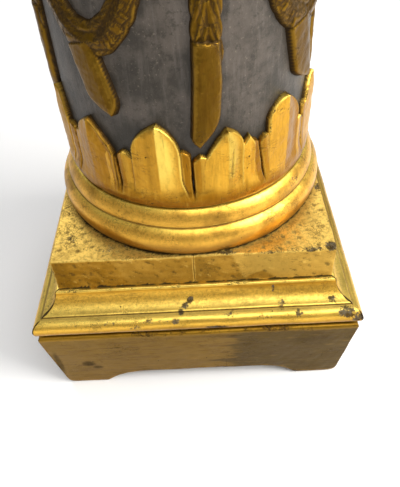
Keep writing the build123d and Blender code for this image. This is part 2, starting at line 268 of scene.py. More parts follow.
class Nodes:
    """A material's nodes, with short calls for the ones that repeat."""

    def __init__(self, name):
        self.material = bpy.data.materials.new(name)
        self.material.use_nodes = True
        self.tree = self.material.node_tree
        self.shader = self.tree.nodes["Principled BSDF"]
        self.place = self.tree.nodes.new("ShaderNodeTexCoord").outputs["Object"]

    def new(self, kind, **settings):
        node = self.tree.nodes.new("ShaderNode" + kind)
        for key, value in settings.items():
            setattr(node, key, value)
        return node

    def put(self, socket, value):
        if isinstance(value, bpy.types.NodeSocket):
            self.tree.links.new(value, socket)
        else:
            socket.default_value = value

    def math(self, operation, a, b=0.0, c=0.0, clamp=False):
        node = self.new("Math", operation=operation, use_clamp=clamp)
        for socket, value in zip(node.inputs, (a, b, c)):
            self.put(socket, value)
        return node.outputs[0]

    def times(self, a, b):
        return self.math("MULTIPLY", a, b)

    def plus(self, a, b):
        return self.math("ADD", a, b)

    def most(self, a, b):
        return self.math("MAXIMUM", a, b)

    def scaled(self, value, factor, offset):
        return self.math("MULTIPLY_ADD", value, factor, offset)

    def mark(self, name):
        return self.new("Attribute", attribute_name=name).outputs["Fac"]

    def noise(self, size, detail=4.0, roughness=0.55, stretch=(1, 1, 1), distortion=0.0):
        """Noise of about 0 to 1, with features of size millimetres."""
        mapping = self.new("Mapping")
        mapping.inputs["Scale"].default_value = [1000 / size / s for s in stretch]
        self.put(mapping.inputs["Vector"], self.place)
        node = self.new("TexNoise")
        node.inputs["Scale"].default_value = 1.0
        node.inputs["Detail"].default_value = detail
        node.inputs["Roughness"].default_value = roughness
        node.inputs["Distortion"].default_value = distortion
        self.put(node.inputs["Vector"], mapping.outputs[0])
        return node.outputs["Fac"]

    def cells(self, size, feature="F1"):
        """Scattered cells of size millimetres."""
        mapping = self.new("Mapping")
        mapping.inputs["Scale"].default_value = [1000 / size] * 3
        self.put(mapping.inputs["Vector"], self.place)
        node = self.new("TexVoronoi", feature=feature)
        node.inputs["Scale"].default_value = 1.0
        self.put(node.inputs["Vector"], mapping.outputs[0])
        return node

    def ramp(self, value, low, high):
        """0 below low, 1 above high, or the other way round if low is the larger."""
        node = self.new("MapRange", interpolation_type="SMOOTHSTEP")
        self.put(node.inputs["Value"], value)
        for key, number in (("From Min", min(low, high)), ("From Max", max(low, high))):
            node.inputs[key].default_value = number
        node.inputs["To Min"].default_value = 0.0 if low < high else 1.0
        node.inputs["To Max"].default_value = 1.0 if low < high else 0.0
        return node.outputs[0]

    def mix(self, share, a, b):
        """Colours a to b."""
        node = self.new("Mix", data_type="RGBA")
        for socket, value in ((0, share), (6, a), (7, b)):
            value = (*value, 1.0) if isinstance(value, tuple) else value
            self.put(node.inputs[socket], value)
        return node.outputs[2]

    def blend(self, share, a, b):
        """Numbers a to b."""
        node = self.new("Mix", data_type="FLOAT")
        for socket, value in ((0, share), (2, a), (3, b)):
            self.put(node.inputs[socket], value)
        return node.outputs[0]

    def bump(self, height, distance):
        node = self.new("Bump")
        node.inputs["Distance"].default_value = distance / 1000
        self.put(node.inputs["Height"], height)
        return node.outputs[0]

    def upward(self):
        """1 on a surface that faces up, 0.5 on an upright one."""
        split = self.new("SeparateXYZ")
        self.put(split.inputs[0], self.new("NewGeometry").outputs["Normal"])
        return self.math("MULTIPLY_ADD", split.outputs["Z"], 0.5, 0.5)

    def across(self, axis):
        split = self.new("SeparateXYZ")
        self.put(split.inputs[0], self.place)
        return split.outputs[axis]

    def finish(self, colour, roughness, metallic, normal):
        for socket, value in (
            ("Base Color", colour),
            ("Roughness", roughness),
            ("Metallic", metallic),
            ("Normal", normal),
        ):
            self.put(self.shader.inputs[socket], value)
        return self.material


def leaf_colour(n, bright, mid, toned_and_shaded, mottled, grain, grain_size):
    """Toned gold leaf, painted paler upward as painted reflection, streaked, with the glow mark's
    painted highlights and paler leaf and the amber mark's painted amber reflection and shade.
    """
    cloud = n.noise(34 / max(grain) ** 0.5, 5, 0.6, grain)
    streaks = n.noise(grain_size, 6, 0.72, grain)
    # painted reflection and shade: faces that look up are painted paler, level faces darker
    level = n.plus(n.facing_up, n.scaled(cloud, 0.30, -0.15))
    colour = n.mix(n.ramp(level, 0.46, 0.70), toned_and_shaded, mid)
    colour = n.mix(n.ramp(level, 0.76, 1.02), colour, bright)
    colour = n.mix(n.times(n.ramp(cloud, 0.52, 0.36), 0.5), colour, n.mix(0.42, toned_and_shaded, GRIME_AND_SHADE))
    # painted highlight: proud edges are painted paler
    edges = n.plus(n.mark("proud"), n.scaled(n.fine, 0.8, -0.4))
    colour = n.mix(n.times(n.ramp(edges, 0.45, 1.0), 0.45), colour, bright)
    # painted highlight where the glow mark is set, which also holds the block's and plinth's paler leaf
    colour = n.mix(n.times(n.mark("glow"), 0.85), colour, bright)
    # painted amber reflection and shade where the amber mark is set
    colour = n.mix(n.times(n.mark("amber"), 0.9), colour, AMBER_SHADE_COLOUR)

    tarnish = n.mix(0.6, colour, TARNISH)
    streaked = n.times(n.flat if max(grain) == 1 else 1.0, 0.2 + 0.4 * mottled)
    colour = n.mix(n.times(n.ramp(streaks, 0.48, 0.62), streaked), colour, tarnish)
    colour = n.mix(n.times(n.ramp(streaks, 0.44, 0.32), streaked), colour, n.mix(0.4, colour, bright))
    grit = n.times(n.ramp(n.noise(2.0, 6, 0.8), 0.51, 0.60), n.ramp(n.cluster, 0.36, 0.58))
    return n.mix(n.times(n.times(grit, n.flat), 0.25 + 0.75 * mottled), colour, tarnish)


def rubbed_through(n, wear, mottled):
    """Share of leaf rubbed off the edges and, on level faces, off small patches."""
    rub = n.plus(n.mark("proud"), n.scaled(n.fine, 1.3, -0.85))
    rub = n.times(n.ramp(rub, 0.70, 0.85), n.ramp(n.cluster, 0.62 - 0.3 * wear, 0.72 - 0.3 * wear))
    patch = n.ramp(n.noise(6, 7, 0.82, distortion=0.8), 0.63 - mottled * 0.06, 0.70 - mottled * 0.05)
    patch = n.times(n.times(patch, n.ramp(n.cluster, 0.48, 0.62)), n.times(n.flat, n.flat))
    return n.most(rub, n.times(patch, 0.3 + 0.4 * mottled))


def stained(n):
    """Share of the dark, ragged stains whose places are given as a mark."""
    stain = n.mark("stain")
    ragged = n.plus(stain, n.scaled(n.noise(3.6, 7, 0.82), 2.9, -1.55))
    return n.times(n.ramp(ragged, 0.34, 0.66), n.ramp(stain, 0.02, 0.3))


def worm_holes(n):
    """Small round flight holes in some of the cells."""
    spots = n.cells(9)
    pick = n.new("SeparateXYZ")
    n.put(pick.inputs[0], spots.outputs["Color"])
    radius = n.times(n.ramp(pick.outputs["Y"], 0.6, 1.0), 0.07)
    hole = n.ramp(n.math("SUBTRACT", spots.outputs["Distance"], radius), 0.025, -0.01)
    return n.times(hole, n.ramp(pick.outputs["Y"], 0.64, 0.68))


def crackled(n):
    """Net of fine cracks, where dirt clusters."""
    edge = n.cells(5.5, feature="DISTANCE_TO_EDGE").outputs["Distance"]
    edge = n.plus(edge, n.scaled(n.fine, 0.10, -0.05))
    return n.times(n.ramp(edge, 0.045, 0.012), n.ramp(n.cluster, 0.50, 0.60))


def dirt_and_shade_share(n, dirt, mottled, hole, crackle):
    """Share of dirt in hollows, holes, specks, scratches and long cracks, and of painted shade where
    the shade mark is set.
    """
    hollows = n.plus(n.mark("deep"), n.scaled(n.fine, 0.8, -0.45))
    # the shade mark is mostly painted shade in creases, under edges and beside carving, with some real
    # smudges and open mitres
    shaded = n.plus(n.mark("shade"), n.scaled(n.fine, 0.5, -0.25))
    shaded = n.times(n.ramp(shaded, 0.02, 0.9), n.ramp(n.mark("shade"), 0.0, 0.12))
    speckle = n.times(n.ramp(n.noise(1.5, 3, 0.6), 0.60, 0.68), n.ramp(n.cluster, 0.40, 0.66))
    blemish = n.most(n.times(speckle, 0.2 + 0.3 * mottled), n.times(crackle, 0.15 + 0.6 * mottled))
    scratches = n.ramp(n.noise(30, 3, 0.5, (0.05, 1, 1), 0.4), 0.71, 0.74)
    wander = n.noise(18, 4, 0.6, (1, 1, 0.2), 0.6)
    cracks = n.times(n.ramp(wander, 0.5, 0.515), n.ramp(wander, 0.53, 0.515))
    cracks = n.times(cracks, n.ramp(n.cluster, 0.54, 0.60))
    dirt_and_shade = n.times(n.ramp(hollows, 0.10, 0.65), dirt)
    layers = (shaded, 0.97), (hole, 0.9), (blemish, n.flat), (scratches, 0.5), (cracks, 0.75)
    for share, strength in layers:
        dirt_and_shade = n.most(dirt_and_shade, n.times(share, strength))
    return dirt_and_shade


def gilding(
    name, bright, mid, toned_and_shaded, wear=0.3, dirt=0.6, mottled=0.3, grain=(1, 1, 1), grain_size=3.0,
    rough=(0.24, 0.46), swell=0.35,
):
    """Old water gilding: leaf over red bole and gesso, rubbed, pitted and dirtied, with painted shade,
    painted highlights and painted reflection where the marks are set.

    bright, mid and toned are the leaf's colours on faces that look up, between and level; upward faces
    are painted paler and level faces darker, partly the leaf's own tone and partly painted reflection
    and shade.
    grain is how far the fine streaks are drawn out along X, Y and Z. swell is the depth of the
    broad unevenness under the leaf.
    """
    n = Nodes(name)
    n.facing_up = n.upward()
    n.flat = n.blend(n.ramp(n.facing_up, 0.52, 0.75), 0.22, 1.0)
    n.fine = n.noise(2.6, 5, 0.68)
    n.cluster = n.noise(26, 4, 0.65)

    rub, stain = rubbed_through(n, wear, mottled), stained(n)
    hole, crackle = worm_holes(n), crackled(n)
    dirt_and_shade = dirt_and_shade_share(n, dirt, mottled, hole, crackle)
    colour = leaf_colour(n, bright, mid, toned_and_shaded, mottled, grain, grain_size)
    colour = n.mix(n.times(rub, 0.8), colour, n.mix(n.ramp(n.fine, 0.4, 0.6), BOLE, GRIME_AND_SHADE))
    scuffed = n.mix(n.ramp(n.noise(4.5, 5, 0.7), 0.42, 0.60), GRIME_AND_SHADE, GESSO)
    colour = n.mix(n.times(stain, 0.92), colour, scuffed)
    # dirt and painted shade both turn the leaf dark brown here
    colour = n.mix(dirt_and_shade, colour, GRIME_AND_SHADE)

    bare = n.most(n.most(rub, stain), dirt_and_shade)
    metallic = n.math("MULTIPLY_ADD", bare, -0.8, 0.97, clamp=True)
    roughness = n.plus(n.blend(n.noise(12, 5, 0.65), *rough), n.times(bare, 0.28))
    height = n.scaled(n.noise(22, 3), swell, n.times(n.fine, 0.14))
    for sunk, depth in ((hole, 0.8), (rub, 0.15), (crackle, 0.10)):
        height = n.math("SUBTRACT", height, n.times(sunk, depth))
    n.shader.inputs["Specular IOR Level"].default_value = 0.1
    return n.finish(colour, roughness, metallic, n.bump(height, 0.9))


def painted_ground():
    """The shaft's dark slate paint, brushed upward, with a soft sheen, old dust, and painted shade low
    down behind the leaves.
    """
    n = Nodes("slate_paint")
    cloud, fine = n.noise(30, 6, 0.65), n.noise(2.2, 5, 0.72)
    brushed = n.noise(4, 4, 0.6, (1, 1, 9))
    # painted shade on the ground low down, behind the collar's leaves
    behind_leaves = n.plus(n.across("Z"), n.scaled(cloud, 0.04, -0.02))
    colour = n.mix(n.ramp(cloud, 0.38, 0.62), (0.030, 0.023, 0.015), (0.082, 0.065, 0.050))
    for where, strength, tone in (
        (n.ramp(brushed, 0.45, 0.75), 0.4, (0.130, 0.108, 0.090)),
        (n.ramp(n.noise(7, 6, 0.8), 0.52, 0.62), 0.65, (0.020, 0.015, 0.008)),
        (n.ramp(n.noise(2.2, 4, 0.7), 0.60, 0.70), 0.55, (0.20, 0.165, 0.12)),
        (n.ramp(behind_leaves, 0.306, 0.262), 0.8, (0.015, 0.011, 0.005)),
    ):
        colour = n.mix(n.times(where, strength), colour, tone)
    for name, value in (("Coat Weight", 0.08), ("Coat Roughness", 0.35), ("Specular IOR Level", 0.35)):
        n.shader.inputs[name].default_value = value
    height = n.plus(n.times(brushed, 0.5), n.times(fine, 0.6))
    return n.finish(colour, n.blend(fine, 0.34, 0.62), 0.0, n.bump(height, 0.6))


def old_wood():
    """Unpainted softwood inside the plinth, with grain and knots."""
    n = Nodes("old_softwood")
    grain = n.noise(4, 6, 0.6, (18, 1, 1), 0.6)
    colour = n.mix(n.ramp(grain, 0.3, 0.7), (0.20, 0.115, 0.055), (0.36, 0.235, 0.125))
    knots = n.times(n.ramp(n.noise(40, 4), 0.5, 0.8), 0.6)
    colour = n.mix(knots, colour, (0.09, 0.055, 0.03))
    return n.finish(colour, n.blend(grain, 0.6, 0.85), 0.0, n.bump(grain, 0.6))


def forged_iron():
    """Hammered, blackened iron with brown rust."""
    n = Nodes("forged_iron")
    rust = n.ramp(n.noise(9, 6, 0.7), 0.5, 0.7)
    colour = n.mix(rust, (0.055, 0.052, 0.050), (0.13, 0.062, 0.032))
    dents = n.cells(7, feature="SMOOTH_F1").outputs["Distance"]
    metallic = n.scaled(rust, -0.7, 0.9)
    height = n.plus(dents, n.times(n.noise(1.5, 4), 0.3))
    return n.finish(colour, n.blend(rust, 0.42, 0.8), metallic, n.bump(height, 0.5))


def old_brass():
    """Spun brass of the drip pan, with turning lines, tarnish and spilt wax."""
    n = Nodes("tarnished_brass")
    x, y = n.across("X"), n.across("Y")
    radius = n.math("SQRT", n.plus(n.times(x, x), n.times(y, y)))
    lines = n.math("SINE", n.times(radius, TURNING_LINES))
    tarnish = n.ramp(n.noise(22, 6, 0.65), 0.42, 0.68)
    colour = n.mix(tarnish, (0.62, 0.43, 0.16), (0.22, 0.14, 0.06))
    wax = n.ramp(n.noise(13, 3, 0.5, distortion=0.8), 0.70, 0.73)
    colour = n.mix(wax, colour, (0.62, 0.56, 0.44))
    metallic = n.math("SUBTRACT", 1.0, wax, clamp=True)
    height = n.plus(n.times(lines, 0.12), n.times(wax, 1.5))
    return n.finish(colour, n.blend(tarnish, 0.24, 0.52), metallic, n.bump(height, 0.35))


# Each group of pieces has its own copy. The plinth's, block's and pendants' colours are set darker
# partly for the leaf's own tone and partly as painted shade, for the darker surroundings their upright
# faces reflect.
GILT_PLINTH = gilding(
    "plinth_gilding_and_shade", (0.37, 0.20, 0.020), (0.120, 0.070, 0.010), (0.082, 0.050, 0.007),
    mottled=1.0, grain=(8, 8, 1), grain_size=2.8, rough=(0.36, 0.58),
)
GILT_BLOCK = gilding(
    "block_gilding", (0.90, 0.62, 0.145), (0.66, 0.38, 0.065), (0.290, 0.140, 0.008),
    mottled=0.95, rough=(0.36, 0.60), swell=0.2,
)
GILT_MOULDING = gilding(
    "moulding_gilding", (0.96, 0.68, 0.14), (0.86, 0.50, 0.066), (0.46, 0.23, 0.018),
    wear=0.35, mottled=0.55, grain=(8, 8, 1), swell=0.05,
)
GILT_RING = gilding(
    "ring_gilding", (0.98, 0.72, 0.13), (0.84, 0.46, 0.065), (0.40, 0.20, 0.028),
    mottled=0.5, swell=0.10, rough=(0.28, 0.50),
)
GILT_CARVING = gilding(
    "carving_gilding", (0.94, 0.69, 0.13), (0.76, 0.42, 0.052), (0.68, 0.36, 0.036),
    dirt=0.25, mottled=0.2, grain=(1, 1, 7),
)
GILT_DROP = gilding(
    "pendant_gilding", (0.27, 0.15, 0.018), (0.15, 0.080, 0.007), (0.13, 0.066, 0.006),
    mottled=0.9, grain=(1, 1, 6),
)
SLATE = painted_ground()
SOFTWOOD = old_wood()
IRON = forged_iron()
BRASS = old_brass()

# ---------------------------------------------------------------- plinth, moulding and block

PLINTH_TOP = top("plinth_board_front")
PLINTH_HALF = half_width("plinth_board_front")
PLINTH_LEAN = 10.4             # how far the top edge stands out beyond the foot
PLINTH_INSIDE = 112.0
MITRE_GAP = 0.35
ARCH = (0, 50, 64, 76, 84.5, 91, 96, 98.5), (17.2, 17.2, 16.4, 13.6, 10.0, 5.6, 1.6, 0)
ARCH_LIP = (0, 50, 64, 84.5, 98.5), (17.2, 17.2, 16.4, 10.0, 0.0)
CORNER_RADIUS = 7.0


def uneven(points, seed, broad=0.22, fine=0.05):
    """Moves points a little off the drawing, as handwork and wear do."""
    offsets = [
        broad * waves(points, 85, seed + k) + fine * waves(points, 9, seed + 10 + k) for k in range(3)
    ]
    return points + np.stack(offsets, -1)


def arch_height(x):
    """Lower edge of a board at a distance from its middle: the arch and the rounded corner."""
    far = np.abs(x)
    into_corner = np.clip(far - (PLINTH_HALF - PLINTH_LEAN - CORNER_RADIUS), 0, CORNER_RADIUS)
    return np.interp(far, *ARCH) + CORNER_RADIUS - np.sqrt(CORNER_RADIUS**2 - into_corner**2)


def plinth_board(index):
    """One board with its arch, as closed sections side by side along its length."""
    middle, end = np.linspace(-0.575, 0.575, 120), np.linspace(0.58, 1, 100)
    across = np.concatenate([-end[::-1], middle, end])
    faces = 46                 # points up the outer face
    foot = PLINTH_HALF - PLINTH_LEAN
    rise = np.linspace(0, 1, faces)
    loops = []
    for t in across:
        outward = np.concatenate([
            foot + PLINTH_LEAN * rise,
            np.linspace(PLINTH_HALF, PLINTH_INSIDE, 14)[1:],
            np.full(10, PLINTH_INSIDE),
            np.linspace(PLINTH_INSIDE, foot, 14)[1:-1],
        ])
        low = arch_height(t * outward)
        low_front = arch_height(t * foot)
        height = np.concatenate([
            low_front + (PLINTH_TOP - low_front) * rise,
            np.full(13, PLINTH_TOP),
            np.linspace(PLINTH_TOP, low[-20], 11)[1:],
            low[-12:],
        ])
        outward[:faces] = foot + PLINTH_LEAN * height[:faces] / PLINTH_TOP
        loops.append(np.stack([t * (outward - MITRE_GAP), -outward, height], -1))
    loops = turn(softened(np.array(loops), 2, axis=1), 90 * index)
    loops[..., :2] += uneven(loops, 40 + index, 0.25, 0.04)[..., :2] - loops[..., :2]
    return loops


def moulding_side(index):
    """Bead, quirk and hollow, along one side, with frayed ends at the mitres."""
    low, high, inner = bottom("moulding_front"), top("moulding_front"), 115.0
    outline = section(
        (inner, low),
        (143.2, low),
        (143.9, low + 1.6),
        ((151.2, 102.6), (143.6, 112.2)),
        (142.0, 112.6),
        (141.6, 113.6),
        (141.2, 114.6),
        ((131.6, 120.4), (128.0, 130.6)),
        (127.8, high - 0.5),
        (126.6, high),
        (inner, high),
        soften=1,
    )
    near_end = np.linspace(0.965, 1, 14)
    across = np.concatenate([-near_end[::-1], np.linspace(-0.96, 0.96, 330), near_end])
    x = across[:, None] * (outline[:, 0] - MITRE_GAP)
    y, z = (np.broadcast_to(values, x.shape) for values in (-outline[:, 0], outline[:, 1]))
    return uneven(turn(np.stack([x, y, z], -1), 90 * index), 60 + index, 0.14, 0.015)


def rounded_block(low, high, radius, spacing):
    """A box with rounded edges, as six grids that share their edges' points."""
    low, high = np.array(low, float), np.array(high, float)
    shells = []
    for axis in range(3):
        a, b = [k for k in range(3) if k != axis]
        spans = []
        for k in (a, b):
            count = max(4, int((high[k] - low[k]) / spacing))
            inner = np.linspace(low[k] + radius, high[k] - radius, count)
            edge = radius * (1 - np.cos(np.linspace(0, math.pi / 2, 4)))
            spans.append(np.concatenate([low[k] + edge[:-1], inner, high[k] - edge[-2::-1]]))
        ga, gb = np.meshgrid(*spans, indexing="ij")
        for end in (low[axis], high[axis]):
            points = np.zeros((*ga.shape, 3))
            points[..., a], points[..., b], points[..., axis] = ga, gb, end
            core = np.clip(points, low + radius, high - radius)
            out = points - core
            length = np.maximum(np.linalg.norm(out, axis=-1, keepdims=True), 1e-9)
            shells.append(core + out / length * radius)
    return shells


def welded(piece):
    """Joins points that lie on each other."""
    shape = bmesh.new()
    shape.from_mesh(piece.data)
    bmesh.ops.remove_doubles(shape, verts=shape.verts, dist=0.00002)
    bmesh.ops.recalc_face_normals(shape, faces=shape.faces)
    shape.to_mesh(piece.data)
    shape.free()


# Soft spots: centre, radii and strength, read off the photograph, with a few more out of its sight.
MOULDING_STAINS = (
    ((-5.4, -133, 119.4), (5, 6, 4.5), 1), ((-10, -137, 116.5), (5, 6, 4.5), 0.92),
    ((-14, -141, 113.5), (4.5, 7, 4), 0.85), ((-19, -148, 108.5), (5, 7, 4.5), 0.92),
    ((-43.6, -147, 109), (9, 8, 5), 0.61), ((-58, -150, 105.5), (10, 8, 4), 0.61),
    ((-93, -147, 109.5), (50, 8, 4), 0.41), ((-30, -148, 108), (16, 8, 4), 0.44),
    ((70.6, -129, 126), (2.5, 5, 6), 0.73), ((78, -139, 114.5), (6, 9, 7), 0.61),
    ((93, -146, 109.5), (6, 8, 6), 0.73), ((60, -147, 109), (16, 7, 4), 0.51),
    ((31, -144, 111), (12, 8, 4), 0.56), ((18, -151, 100.8), (17, 8, 3.4), 0.92),
    ((124, -137, 116), (8, 8, 3.4), 0.73), ((136, -147, 109), (12, 10, 8), 0.92),
    ((146, -150, 104), (9, 10, 9), 0.79), ((-120, 150, 104), (22, 10, 12), 0.85),
    ((150, 40, 105), (10, 30, 8), 0.61), ((-150, -60, 105), (10, 22, 8), 0.55),
)
PLINTH_SMUDGES = (
    ((-112, -142, 40), (11, 9, 9), 0.62), ((-104, -141, 32), (9, 9, 5), 0.6),
    ((-141, -143, 45), (5, 9, 40), 0.5), ((20, -149, 84), (40, 9, 5), 0.3),
    ((110, -148, 70), (30, 9, 22), 0.25), ((60, 146, 60), (30, 9, 12), 0.4),
    ((143, 30, 40), (9, 30, 12), 0.4), ((-143, 20, 50), (9, 25, 12), 0.4),
)
BLOCK_STAINS = (
    ((120, -120, 168), (9, 8, 5), 1), ((104, -123, 168), (14, 5, 3), 0.84),
    ((66, -124, 168), (18, 3.5, 2.5), 0.6), ((30, -122, 168), (15, 4, 3), 0.78),
    ((122, -40, 168), (6, 12, 6), 0.72), ((-118, 118, 168), (20, 14, 8), 0.84),
    ((-70, -110, 168), (26, 8, 3), 0.48), ((-112, -96, 168), (16, 12, 3), 0.48),
)


def block_tone_and_highlight(points):
    """Glow of the lighter leaves on the block's front and back, and a painted highlight along the top
    arris.
    """
    x, z = points[..., 0] + 1.2 * waves(points, 20, 91), points[..., 2]
    past_first = smoothstep(-0.8, 0.8, x - np.interp(z, (134, 168), (-60.0, -70.0)))
    past_second = smoothstep(-0.8, 0.8, x - np.interp(z, (134, 168), (46.0, 33.0)))
    above_third = smoothstep(-0.8, 0.8, z - np.interp(x, (46, 60.4, 78), (136.5, 145.8, 134.0)))
    # painted highlight along the block's top arris
    arris = smoothstep(166.9, 167.7, z) * (np.max(np.abs(points[..., :2]), -1) > 122.8)
    arris = arris * np.clip(0.9 + 0.9 * waves(points, 11, 92, 3), 0, 1)
    return np.maximum(0.10 * past_first + 0.30 * past_second * above_third, arris)


def block_shade(points):
    """Crumbs and dirt with painted shade along the block's foot, and painted shade round the turned
    ring.
    """
    z, radius = points[..., 2], np.linalg.norm(points[..., :2], axis=-1)
    crumbs = 0.9 * waves(points, 11, 93, 3) + 0.5 * waves(points, 3.4, 99, 2)
    # the foot: crumbs, dirt and painted shade where the block sits on the moulding
    foot = 1 - smoothstep(133.9, 135.2, z + crumbs)
    on_top = smoothstep(166.0, 167.5, z)
    # painted shadow on the block's top under and round the ring
    round_ring = 0.6 * (1 - smoothstep(122.4, 124.4, radius + 0.9 * crumbs))
    round_ring = round_ring + 0.3 * (1 - smoothstep(123, 137, radius))
    return np.maximum(foot, on_top * round_ring)


def board_marks(loops):
    """Dirt along the arch and in smudges, and leaf that is paler on the left and along the rim."""
    height, along = loops[..., 2], np.min(np.abs(loops[..., :2]), -1)
    rim = smoothstep(PLINTH_TOP - 1.5, PLINTH_TOP - 0.7, height)
    rim = rim * (0.6 + 0.6 * waves(loops, 7, 95))
    edge = 30.0 + 5.0 * waves(loops, 60, 97, 3) + 9.0 * waves(loops * (0.3, 1, 4), 26, 98, 3)
    # leaf paler left of a wavering line across the plinth
    paler_left = 0.5 - 0.42 * smoothstep(edge - 8.0, edge + 8.0, loops[..., 0])
    above_arch = height - np.interp(along, *ARCH_LIP)
    band = 0.34 * (1 - smoothstep(3.5, 6.5, above_arch + 1.5 * waves(loops, 20, 94))) * (along < 100)
    smudge = stain_at(loops.reshape(-1, 3), PLINTH_SMUDGES).reshape(height.shape)
    return {"shade": np.maximum(band, smudge), "glow": np.maximum(paler_left, 0.2 * rim)}


def moulding_marks(loops):
    """Dirt in the open mitres, painted shade under the bead and in the quirk, and a painted highlight
    on the top fillet.
    """
    height = loops[..., 2]
    across, outward = np.moveaxis(np.sort(np.abs(loops[..., :2]), -1), -1, 0)
    crack = 1 - smoothstep(0.5, 1.4, outward - across + 0.5 * waves(loops, 12, 71))
    # painted shade under the bead, where it meets the plinth
    gap = 0.85 * (1 - smoothstep(94.0, 98.0, height))
    # painted shade in the quirk
    quirk = 0.9 * np.exp(-(((height - 113.5) / 0.75) ** 2))
    # painted highlight along the top fillet
    fillet = smoothstep(131.6, 132.6, height) * (outward > 125.6)
    return {"shade": np.maximum(np.maximum(crack, gap), quirk), "glow": fillet}


def make_base():
    for index, side in enumerate(SIDES):
        board, strip = Carcass(), Carcass()
        loops = plinth_board(index)
        board.tube(loops, **board_marks(loops))
        board.piece(f"plinth_{side}_gilt", GILT_PLINTH, f"plinth_board_{side}")
        loops = moulding_side(index)
        strip.tube(loops, **moulding_marks(loops))
        strip.piece(
            f"moulding_{side}_gilt", GILT_MOULDING, f"moulding_{side}", stains=MOULDING_STAINS
        )
    for side in ("left", "right"):
        node = f"block_board_{side}"
        low, high = (np.array(corner) * 1000 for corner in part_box(node))
        block = Carcass()
        for shell in rounded_block(low, high, radius=0.9, spacing=1.7):
            off_joint = smoothstep(0.2, 6, np.abs(shell[..., :1]))
            shell = shell + (uneven(shell, 80, 0.3, 0.12) - shell) * off_joint
            quads = grid_faces(*shell.shape[:2], closed_columns=False)
            block.add(shell, quads, shade=block_shade(shell), glow=block_tone_and_highlight(shell))
        welded(block.piece(f"block_{side}_gilt", GILT_BLOCK, node, stains=BLOCK_STAINS))


# ---------------------------------------------------------------- turned ring


def lathe(outline, columns):
    """A closed section, given as radius and height, turned round the axis."""
    angles = 2 * math.pi * np.arange(columns) / columns
    r, z = outline[:, 0], outline[:, 1]
    x, y = np.sin(angles)[:, None] * r, -np.cos(angles)[:, None] * r
    return np.stack([x, y, np.broadcast_to(z, x.shape)], -1)


RING_STAINS = (((92, -70, 203), (14, 14, 6), 0.55), ((-60, -105, 205), (20, 14, 5), 0.35))


def make_ring():
    low, high = bottom("base_ring"), top("base_ring")
    outline = section(
        (70, low),
        (121.6, low),
        ((125.9, 180.2), (119.0, 193.6)),
        (117.8, 194.5),
        (117.7, 195.3),
        (118.7, 195.5),
        (118.6, 196.3),
        ((116.5, 203.4), (111.6, high - 0.4)),
        (109.0, high),
        (70, high),
        spacing=0.7,
        soften=1,
    )
    ring = Carcass()
    loops = lathe(outline, 640)
    step = 0.7 * np.exp(-(((loops[..., 2] - 194.9) / 0.4) ** 2))     # painted shade under the upper ovolo
    # painted shade where the ring sits on the block
    foot = 0.7 * (1 - smoothstep(low + 0.3, low + 2.6, loops[..., 2]))
    ring.ring(uneven(loops, 100, 0.16, 0.015), shade=np.maximum(step, foot))
    ring.piece("base_ring_gilt", GILT_RING, "base_ring", stains=RING_STAINS)


# ---------------------------------------------------------------- carving on a turned ground

SHAFT_RADIUS = half_width("shaft_half_front")
TAPER_START = 300.0
SHAFT_TOP = top("shaft_half_front")
NARROWING = SHAFT_RADIUS - 88.0             # from the foot to the top
TAPER_ARC = (NARROWING**2 + (SHAFT_TOP - TAPER_START) ** 2) / (2 * NARROWING)
LEAF_RADIUS = 112.0                         # where distances round are measured
TURN_LENGTH = 2 * math.pi * LEAF_RADIUS
BURIED = -1.5                               # height off the ground where there is no carving
CAVITY_REACH = 1.6                          # how far off the rim of a hollow still counts
FIRST_LEAF = -12.0                          # degrees round from the front
FIRST_DROP = 10.5                           # the same, for the drops and their bows
BOW_HEIGHT = 560.0


def at(degrees):
    """Distance round from the front."""
    return math.radians(degrees) * LEAF_RADIUS


def shaft_ground(z):
    """Radius of the shaft at a height."""
    rise = np.maximum(0.0, z - TAPER_START)
    return SHAFT_RADIUS - TAPER_ARC + np.sqrt(TAPER_ARC**2 - rise**2)


def on_ground(ground, angle, s, z, height):
    """Points at a distance s round from an angle, a height z, and standing off the ground.

    s is measured at LEAF_RADIUS, where the carving's faces are.
    """
    around = math.radians(angle) + s / LEAF_RADIUS
    out = ground(z) + height
    return np.stack([np.sin(around) * out, -np.cos(around) * out, z], -1)


def blur(field, size, wrap):
    """Mean over a square of 2 size + 1 points each way."""
    for axis in (0, 1):
        mode = "wrap" if wrap and axis == 1 else "edge"
        pad = [(0, 0), (0, 0)]
        pad[axis] = (size + 1, size)
        total = np.cumsum(np.pad(field, pad, mode=mode), axis)
        total, window = np.moveaxis(total, axis, 0), 2 * size + 1
        field = np.moveaxis((total[window:] - total[:-window]) / window, 0, axis)
    return field


